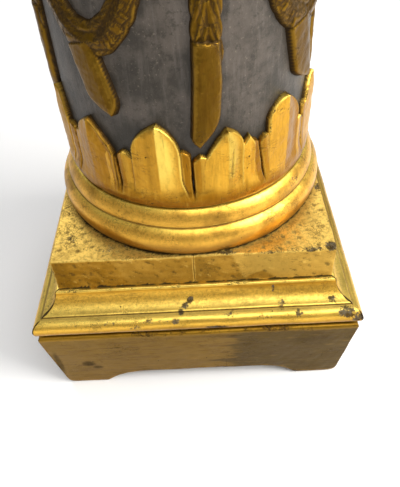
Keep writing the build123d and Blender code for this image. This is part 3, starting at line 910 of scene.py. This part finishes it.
class Relief:
    """Carving as a height off its ground, over distance round and height up."""

    def __init__(self, s, z, closed=False):
        self.closed = closed
        self.z, self.s = np.meshgrid(z, s, indexing="ij")
        self.height = np.full(self.s.shape, BURIED)
        self.shade, self.painted_highlight, self.amber = (np.zeros(self.s.shape) for _ in range(3))
        self.wall = 1.7 * max(s[1] - s[0], z[-1] - z[-2])      # run of a leaf's side

    def away_from(self, s, z):
        """Distances round and up from a place, the short way round if the relief is closed."""
        ds = self.s - s
        if self.closed:
            ds = (ds + TURN_LENGTH / 2) % TURN_LENGTH - TURN_LENGTH / 2
        return ds, self.z - z

    def blade(
        self, tip, length, left, right, heading=0.0, shoulder=30.0, power=2.6, margin=4.6, ridge=3.4,
        valley=0.0, rim=0.0, round_=0.0, spread=0.0, droop=0.25, edge_round=1.2, overlap=1.0,
        bright=0.0, amber_shading=0.0,
    ):
        """One leaf that points along heading, with its lengths and heights in millimetres.

        Its halves are left and right wide, reach that width at shoulder behind the tip, and widen
        by spread at the foot. The face stands margin high, with a ridge in the middle or a round
        section, a valley in each half, and a rim. The tip droops. overlap is the painted shadow beside
        it, bright the painted highlight on its ridge and dull the painted amber shade. Pairs are for
        the two halves.
        """
        ds, dz = self.away_from(*tip)
        a = math.radians(heading)
        back, across = -(ds * math.sin(a) + dz * math.cos(a)), ds * math.cos(a) - dz * math.sin(a)
        side = (across > 0).astype(int)

        def half(values):
            return np.broadcast_to(np.asarray(values, float), 2)[side]

        reach = np.clip(back / half(shoulder), 0, 1)
        along = np.clip(back / length, 0, 1)
        outline = half((left, right)) * (1 - (1 - reach) ** half(power))
        width = outline + half(spread) * smoothstep(0.55, 1.0, along) ** 1.5 + 1e-6
        slope = np.gradient(outline, axis=0) / (abs(self.z[1, 0] - self.z[0, 0]) + 1e-9)
        edge = (width - np.abs(across)) / np.sqrt(1 + np.clip(slope, -3, 3) ** 2)
        edge = np.minimum(edge, back * 1.2)
        edge = np.where(back > length, np.minimum(edge, length - back), edge)

        out = np.clip(np.abs(across) / width, 0, 1)
        face = margin + ridge * (1 - out) ** 1.15 * (1 - 0.35 * along)
        hollow = np.exp(-(((out - 0.66) / 0.22) ** 2)) * smoothstep(0.06, 0.3, along)
        face = face - half(valley) * hollow
        face = face + half(rim) * np.exp(-(((1 - out) * width / 1.6) ** 2))
        face = face + round_ * np.sqrt(np.clip(1 - out**2, 0, 1))
        face = face * (1 - droop * (1 - smoothstep(0.0, 0.3, along)))
        inside = np.clip(edge / edge_round, 0, 1)
        lip = 0.80 + 0.20 * np.sqrt(np.clip(1 - (1 - inside) ** 2, 0, 1))
        wall = np.clip(1 + edge / self.wall, 0, 1)
        value = np.where(edge >= 0, face * lip, BURIED + (face * 0.80 - BURIED) * wall)
        value = np.where(edge > -self.wall, value, BURIED)

        over = value > self.height
        # painted shadow just beside the leaf's edge, as strong as overlap says
        near = (edge > -2.4) & (edge <= 0) & ~over
        beside = 0.7 * (1 + edge / 2.4) * half(overlap)
        self.shade = np.where(near, np.maximum(self.shade, beside), self.shade)
        # painted highlight: the right half near the ridge and the right edge, as if lit from the right
        glow = smoothstep(-0.6, 0.8, across) * smoothstep(0.95, 0.25, out)
        glow = bright * glow * (1 - smoothstep(0.45, 0.9, along))
        lit_edge = smoothstep(2.2, 0.6, edge) * (across > 0) * smoothstep(0.1, 0.4, along)
        self.height = np.where(over, value, self.height)
        # the leaf's sides darkened, partly as dirt and partly as painted shade
        self.shade = np.where(over, 0.8 * (1 - smoothstep(-0.3, 0.15, edge)), self.shade)
        self.painted_highlight = np.where(over, glow + 0.5 * bright * lit_edge, self.painted_highlight)
        # painted amber shade on each half, as dull gives
        self.amber = np.where(over, half(amber_shading), self.amber)

    def cut(self, start, end, width, depth, dark=1.0):
        """A narrow groove from start to end, both (s, z)."""
        run = np.array(end) - np.array(start)
        length = np.linalg.norm(run)
        ds, dz = self.away_from(*start)
        along = (ds * run[0] + dz * run[1]) / length
        off = np.abs(ds * run[1] - dz * run[0]) / length
        ends = np.clip(np.minimum(along, length - along) / (0.25 * length), 0, 1) ** 0.5
        into = np.clip(1 - off / (width / 2 * np.maximum(ends, 0.01)), 0, 1) * (ends > 0)
        lowered = np.maximum(self.height - depth * np.sqrt(into), 0.2)
        self.height = np.where(self.height > 0, lowered, self.height)
        # painted shade along the groove
        self.shade = np.maximum(self.shade, dark * smoothstep(0.0, 0.6, into))

    def onto(self, carcass, ground, angle, back_depth=3.0, seed=1):
        """Adds the relief to a carcass, closed behind the ground."""
        proud = np.maximum(self.height, 0)
        step = self.z[-1, 0] - self.z[-2, 0]
        soft = blur(proud, max(1, round(CAVITY_REACH / step)), self.closed)
        # painted shade: hollows below their surroundings, and all that lies under the ground, are
        # marked dark
        cavity = np.clip((soft - proud) / 1.3, 0, 1)
        shade = np.where(self.height < 0, 1.0, np.maximum(self.shade, 0.8 * cavity))
        raw = on_ground(ground, angle, self.s, self.z, self.height)
        rough = 0.16 * waves(raw, 13, seed) + 0.05 * waves(raw, 3.5, seed + 1)
        points = on_ground(ground, angle, self.s, self.z, self.height + rough)
        behind = on_ground(ground, angle, self.s, self.z, np.full(self.s.shape, -back_depth))
        if self.closed:
            loops = np.concatenate([points, behind[-1:], behind[:1]])
            widths = ((0, 2), (0, 0))
        else:
            loops = np.concatenate([points, behind[:, -1:], behind[:, :1]], 1)
            widths = ((0, 0), (0, 2))
        marks = {"shade": shade, "glow": self.painted_highlight, "amber": self.amber}
        marks = {name: np.pad(mark, widths) for name, mark in marks.items()}
        (carcass.ring if self.closed else carcass.tube)(loops, **marks)


def make_collar():
    """The carved sleeve: a band, leaves and, in each gap, two leaflets split by a groove."""
    low, high = bottom("acanthus_collar"), top("acanthus_collar") + 0.6
    rows = np.concatenate([np.linspace(low, 222.0, 10)[:-1], np.arange(222.0, high, 0.58)])
    sleeve = Relief(at(0.3) * np.arange(1200), rows, closed=True)
    random = np.random.default_rng(12)

    # dull, here and below, paints amber shade on a leaf's halves
    grooves = {0: (2.2, 2.4), 1: (31.4, 34.3), 11: (-31.0, -29.8)}
    tops = {0: (266.0, 260.5), 1: (266.0, 265.0), 11: (258.0, 261.5)}
    for i in range(12):
        high_end, low_end = grooves.get(i, (FIRST_LEAF + 30 * i + 15.0 + random.uniform(-1, 1),) * 2)
        heading = math.degrees(math.atan2(at(high_end - low_end), 36))
        for side, tip in zip((-1, 1), tops.get(i, random.uniform(259, 267, 2))):
            sleeve.blade(
                (at(high_end) + side * 6.8, tip), 50.0, 6.1 + 2.5 * (side < 0), 6.1 + 2.5 * (side > 0),
                heading=heading, shoulder=6.5, power=2.4, margin=2.2, ridge=0.0, round_=2.6, droop=0.0,
                rim=(0.3, 0.8), bright=0.2 * (side > 0), amber_shading=(0.75, 0.55) if side > 0 else (0.25, 0.9),
            )

    shapes = {
        0: dict(
            tip=(at(-11.2), 289.2), left=23.0, right=17.3, power=2.6, spread=(0.0, 7.0),
            amber_shading=(0.4, 0.1), bright=1.2,
        ),
        1: dict(
            tip=(at(17.0), 281.0), left=20.0, right=13.8, shoulder=(34.0, 18.0), power=(1.7, 2.8),
            amber_shading=(0.0, 0.45),
        ),
        2: dict(
            tip=(at(46.6), 292.0), left=19.2, right=20.5, shoulder=(17.0, 30.0), power=2.2,
            amber_shading=(0.3, 0.85), bright=0.1,
        ),
        10: dict(tip=(at(-73.0), 288.0), left=20.0, right=19.0, power=2.5, amber_shading=0.6, bright=0.2),
        11: dict(
            tip=(at(-43.2), 282.6), left=17.5, right=22.0, shoulder=(20.0, 27.0), power=(2.6, 1.3),
            spread=(5.0, 1.0), amber_shading=(0.7, 0.8), bright=0.1,
        ),
    }
    for i in range(12):
        usual = dict(
            tip=(at(FIRST_LEAF + 30 * i + random.uniform(-1.2, 1.2)), random.uniform(282, 291)),
            left=random.uniform(18.5, 21), right=random.uniform(17, 20), power=2.5,
            spread=(0.0, random.uniform(1.0, 5.0)), amber_shading=(0.3, 0.1), bright=0.9,
        )
        shape = {"bright": 1.0, **shapes.get(i, usual)}
        sleeve.blade(
            length=shape["tip"][1] - 214.0, margin=4.7, ridge=3.3, valley=(0.0, 0.9),
            rim=(0.0, 0.9), droop=0.12, overlap=(0.1, 1.0), **shape,
        )
        if i == 1:
            sleeve.blade(
                (at(27.0), 270.3), 56.0, 6.5, 5.0, shoulder=(9.0, 10.0), power=(1.5, 1.6), margin=4.8,
                ridge=0.5, spread=(2.0, 8.0), rim=(0.0, 0.4), overlap=(0.0, 0.3), droop=0.0,
                amber_shading=(0.15, 0.3),
            )
            sleeve.cut((at(19.2), 264.0), (at(18.3), 238.0), 1.7, 1.0, 0.4)
            sleeve.cut((at(33.2), 246.0), (at(34.8), 224.0), 2.0, 3.0)
        if i == 0:
            sleeve.cut((at(2.0), 246.0), (at(2.7), 223.0), 2.0, 3.0)

    z = sleeve.z
    band = np.interp(z, (low, 212.0, 215.0, 219.0, 226.0, 232.0), (3.9, 5.3, 6.3, 6.9, 7.1, 6.6))
    blend = smoothstep(218, 234, z)
    sleeve.height = np.where(
        sleeve.height > 0,
        band * (1 - blend) + sleeve.height * blend,
        np.where(blend < 0.5, band * (1 - blend), BURIED),
    )
    # painted shade only at the collar's foot, where it meets the ring
    sleeve.shade *= smoothstep(219, 229, z)
    sleeve.shade = np.maximum(sleeve.shade, 0.8 * (1 - smoothstep(low + 0.3, low + 1.8, z)))
    sleeve.painted_highlight *= blend
    # painted reflection: the band near the ring turns amber, as gold reflected in gold
    uneven_line = 2.0 * waves(on_ground(shaft_ground, 0, sleeve.s, z, 0), 30, 55)
    sleeve.amber = np.maximum(sleeve.amber, 1 - smoothstep(216, 236, z + uneven_line))
    collar = Carcass()
    sleeve.onto(collar, shaft_ground, 0.0, seed=7)
    collar.piece("acanthus_collar_carved", GILT_CARVING, "acanthus_collar")


def make_drop(index):
    """A hanging drop: pairs of leaves down its length and one long curled leaf at the end."""
    relief = Relief(np.arange(-18, 15, 0.62), np.arange(264.0, 556.0, 0.7))
    random = np.random.default_rng(200 + index)
    for k in range(12):
        z = 524.0 - 15.5 * k
        for side in (-1, 1):
            relief.blade(
                (side * 8.4 + random.uniform(-0.5, 0.5), z - 22.0), 30.0, 5.6, 5.6,
                heading=180.0 - side * 15.0, shoulder=14.0, power=2.0, margin=3.6, ridge=2.6, rim=0.4,
            )
    relief.blade(
        (-9.2, 270.4), 80.0, 15.2, 6.4, heading=184.0, shoulder=(27.0, 9.0), power=(1.9, 3.2),
        ridge=0.0, round_=4.0, droop=0.0, edge_round=3.0, spread=(-3.0, 1.0),
    )
    drop = Carcass()
    relief.onto(drop, shaft_ground, FIRST_DROP + 90 * index, seed=20 + index)
    drop.piece(f"leaf_drop_{index + 1}_carved", GILT_DROP, f"leaf_drop_{index + 1}")


def swag_line(t):
    """Middle of a swag, from its left end at -1 to its right end at 1, as (s, z)."""
    far = np.abs(t)
    return np.stack([64.0 * np.sign(t) * (1 - (1 - far) ** 1.6), 348.0 + 194.0 * far**1.9], -1)


def make_swag(index):
    """A laurel swag: overlapping leaves over a stem, thicker in the middle, with a curled tip."""
    relief = Relief(np.arange(-78, 78.5, 0.85), np.arange(287.0, 550.0, 0.85))
    random = np.random.default_rng(300 + index)
    stems = np.concatenate([np.linspace(-0.985, -0.02, 30), np.linspace(0.985, 0.02, 30)])
    for t in sorted(stems, key=abs, reverse=True):
        here, ahead = swag_line(np.array([t, t * 0.97]))
        a = math.atan2(ahead[0] - here[0], ahead[1] - here[1])
        forward, sideways = np.array([math.sin(a), math.cos(a)]), np.array([math.cos(a), -math.sin(a)])
        spread = 5.0 + 5.5 * (1 - abs(t))
        for row in (-1, 1, 0):
            heading = math.degrees(a) + row * 20.0 + random.uniform(-5, 5)
            relief.blade(
                here + row * spread * sideways + 9.0 * forward, 24.0 + random.uniform(-2, 2), 5.2, 5.2,
                heading=heading, shoulder=12.0, power=2.0, margin=3.4 + 1.6 * (row == 0), ridge=2.0,
                rim=0.3,
            )
    relief.blade(
        (13.4, 293.0), 56.0, 7.0, 17.0, heading=163.0, shoulder=(12.0, 20.0), power=(2.0, 1.6),
        margin=5.0, ridge=0.8, round_=1.6, edge_round=2.0, droop=0.0,
    )
    swag = Carcass()
    relief.onto(swag, shaft_ground, FIRST_DROP - 45.0 + 90 * index, seed=40 + index)
    swag.piece(f"laurel_swag_{index + 1}_carved", GILT_DROP, f"laurel_swag_{index + 1}")


def make_bow(index):
    """A ribbon bow with two loops and a knot."""
    bow = Carcass()
    angle = FIRST_DROP + 90 * index
    t = np.linspace(0, 2 * math.pi, 73)
    for side in (-1, 1):
        s = side * (16.5 - 13.5 * np.cos(t))
        z = BOW_HEIGHT + 3.0 + 6.0 * np.sin(t) + 0.2 * side * s - 4.0 * np.sin(t / 2) ** 2 + 3.0
        along = np.stack([np.gradient(s), np.gradient(z)], -1)
        along /= np.linalg.norm(along, axis=1, keepdims=True)
        around = 2 * math.pi * np.arange(12) / 12
        across, up = np.cos(around) * 1.9, 3.4 + np.sin(around) * 3.0 + 1.0 * np.sin(t)[:, None]
        s, z = s[:, None] - along[:, 1:] * across, z[:, None] + along[:, :1] * across
        bow.tube(on_ground(shaft_ground, angle, s, z, up))
    turns, rings, knot_radius = 20, 12, 8.2
    tilt = np.linspace(0.02, 1.0, rings)[:, None] * math.pi / 2
    round_ = 2 * math.pi * np.arange(turns) / turns
    s = knot_radius * np.sin(tilt) * np.cos(round_)
    z = BOW_HEIGHT + knot_radius * np.sin(tilt) * np.sin(round_)
    dome = on_ground(shaft_ground, angle, s, z, 7.6 * np.cos(tilt) * np.ones_like(round_))
    skirt = on_ground(shaft_ground, angle, s[-1:], z[-1:], np.full((1, turns), BURIED))
    bow.tube(np.concatenate([dome, skirt]))
    bow.piece(f"bow_{index + 1}_carved", GILT_DROP, f"bow_{index + 1}")


# ---------------------------------------------------------------- carving above


def bell_ground(z):
    """Radius of the capital's bell at a height, a little inside its surface."""
    t = np.clip((z - 768.0) / 68.0, 0, 1)
    return 82.6 + 23.0 * t**2.1


def vase_ground(z):
    """Radius of the vase's lower half at a height, a little inside its surface."""
    heights = (890, 895, 900, 905, 910, 915, 920, 925, 930, 938)
    radii = (31.0, 38.4, 44.8, 49.0, 52.2, 54.4, 56.0, 57.0, 57.4, 56.9)
    return np.interp(z, heights, radii) - 0.4


def leaf_row(node, ground, low, high, band, tip_z, count, half, seed, proud, hanging=False):
    """A ring of leaves with leaflets between, standing on a band or hanging from it.

    low and high are the carving's ends, and band is where the plain band meets the leaves.
    """
    relief = Relief(at(0.5) * np.arange(720), np.arange(low, high + 0.1, 0.75), closed=True)
    random = np.random.default_rng(seed)
    heading, up = (180.0, -1) if hanging else (0.0, 1)
    pitch = 360.0 / count
    span = abs(tip_z - (high if hanging else low))
    for i in range(count):
        for side in (-1, 1):
            z = tip_z - up * (span * 0.42 + random.uniform(-1, 1))
            relief.blade(
                (at(FIRST_LEAF + pitch * (i + 0.5)) + side * 4.4, z), span, 4.1, 4.1, heading=heading,
                shoulder=7.0, power=2.2, margin=proud * 0.45, ridge=0.0, round_=proud * 0.5, droop=0.1,
            )
    for i in range(count):
        relief.blade(
            (at(FIRST_LEAF + pitch * i), tip_z + random.uniform(-0.8, 0.8)), span, half, half,
            heading=heading, shoulder=24.0, power=2.4, margin=proud * 0.8, ridge=proud * 0.7,
            valley=(0.1, 0.7), rim=(0.3, 0.9), bright=1.0,
        )
    edge = smoothstep(band + up * 9, band, relief.z)
    open_ground = (relief.height < 0) & (edge < 0.02)
    relief.height = np.maximum(relief.height, 0) * (1 - edge) + proud * 1.2 * edge
    relief.height = relief.height + np.where(open_ground, BURIED, 0.0)
    piece = Carcass()
    relief.onto(piece, ground, 0.0, back_depth=2.0, seed=seed)
    piece.piece(node + "_carved", GILT_CARVING, node)


def make_upper_carving():
    leaf_row(
        "upper_leaf_collar", shaft_ground, low=690.4, high=742.0, band=734.0, tip_z=692.0,
        count=12, half=18.0, seed=400, proud=3.2, hanging=True,
    )
    leaf_row(
        "capital_leaves", bell_ground, low=762.2, high=827.0, band=768.0, tip_z=825.5,
        count=12, half=23.0, seed=500, proud=3.6,
    )
    leaf_row(
        "vase_leaves", vase_ground, low=890.6, high=935.5, band=893.0, tip_z=934.5,
        count=10, half=30.0, seed=600, proud=2.6,
    )


# ---------------------------------------------------------------- finishes of the CAD pieces


FINISHES = (
    (SLATE, ("shaft_half_front", "shaft_half_back")),
    (SOFTWOOD, ("corner_glue_blocks", "deck_board", "block_dowels")),
    (SOFTWOOD, ("shaft_lower_plug", "shaft_upper_plug")),
    (IRON, ("moulding_nails", "tie_rod", "rod_collar", "rod_washer", "rod_nut")),
    (BRASS, ("drip_pan",)),
    (GILT_RING, ("neck_ring", "vase_foot", "drip_dish", "abacus")),
    (GILT_CARVING, ("capital_bell", "vase_body")),
)


def dress_frame():
    for material, nodes in FINISHES:
        for node in nodes:
            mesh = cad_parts[node].data
            mesh.materials.clear()
            mesh.materials.append(material)


# ---------------------------------------------------------------- floor, light and camera


def make_stage():
    """A pale floor just under the feet, and a white world round it, in metres."""
    mesh = bpy.data.meshes.new("floor")
    reach = 6.0
    corners = [(x * reach, y * reach, 0) for x, y in ((-1, -1), (1, -1), (1, 1), (-1, 1))]
    mesh.from_pydata(corners, [], [(0, 1, 2, 3)])
    floor = bpy.data.objects.new("floor", mesh)
    floor.location.z = -0.0004
    bpy.context.scene.collection.objects.link(floor)
    n = Nodes("pale_floor")
    colour = n.mix(n.noise(400, 2), (0.93, 0.93, 0.93), (0.96, 0.96, 0.96))
    mesh.materials.append(n.finish(colour, 0.9, 0.0, n.bump(n.noise(3, 2), 0.02)))

    world = bpy.data.worlds.new("studio")
    bpy.context.scene.world = world
    world.use_nodes = True
    background = world.node_tree.nodes["Background"].inputs
    background["Color"].default_value = (1.0, 1.0, 1.0, 1.0)
    background["Strength"].default_value = 0.38


def soft_light(name, place, target, size, power, colour=(1, 1, 1)):
    """A rectangular light at a place, aimed at a target, in metres and watts."""
    data = bpy.data.lights.new(name, "AREA")
    data.shape, data.size, data.size_y = "RECTANGLE", size[0], size[1]
    data.energy, data.color = power, colour
    lamp = bpy.data.objects.new(name, data)
    lamp.location = place
    lamp.rotation_euler = (Vector(target) - Vector(place)).to_track_quat("-Z", "Y").to_euler()
    bpy.context.scene.collection.objects.link(lamp)


def make_lights():
    aim = (0, 0, 0.2)
    soft_light("window_right", (1.8, -0.72, 1.45), aim, (1.3, 1.3), 66, (1.0, 0.98, 0.94))
    soft_light("ceiling_front", (0.35, -1.15, 1.75), aim, (1.5, 0.9), 14)
    soft_light("ceiling_back", (-0.15, 1.45, 1.55), aim, (2.6, 1.3), 19)


def make_camera():
    """A hand-held close view from above the front, tilted a little."""
    place, lens = (0.0135, -0.4510, 0.5071), 40.33
    yaw, down, roll = (math.radians(a) for a in (-1.17, 44.79, -3.67))
    level = Vector((math.sin(yaw), math.cos(yaw), 0)) * math.cos(down)
    forward = level - Vector((0, 0, math.sin(down)))
    right = Vector((math.cos(yaw), -math.sin(yaw), 0))
    up = right.cross(forward)
    tilted_right = right * math.cos(roll) + up * math.sin(roll)
    tilted_up = up * math.cos(roll) - right * math.sin(roll)
    data = bpy.data.cameras.new("camera")
    data.lens, data.sensor_width, data.clip_start = lens, 36.0, 0.01
    camera = bpy.data.objects.new("camera", data)
    axes = Matrix((tilted_right, tilted_up, -forward)).transposed()
    camera.matrix_world = Matrix.Translation(place) @ axes.to_4x4()
    bpy.context.scene.collection.objects.link(camera)
    bpy.context.scene.camera = camera


make_base()
make_ring()
make_collar()
for number in range(4):
    make_drop(number)
    make_swag(number)
    make_bow(number)
make_upper_carving()
dress_frame()
make_stage()
make_lights()
make_camera()
bpy.context.scene.view_settings.view_transform = "Standard"

bpy.context.view_layer.update()
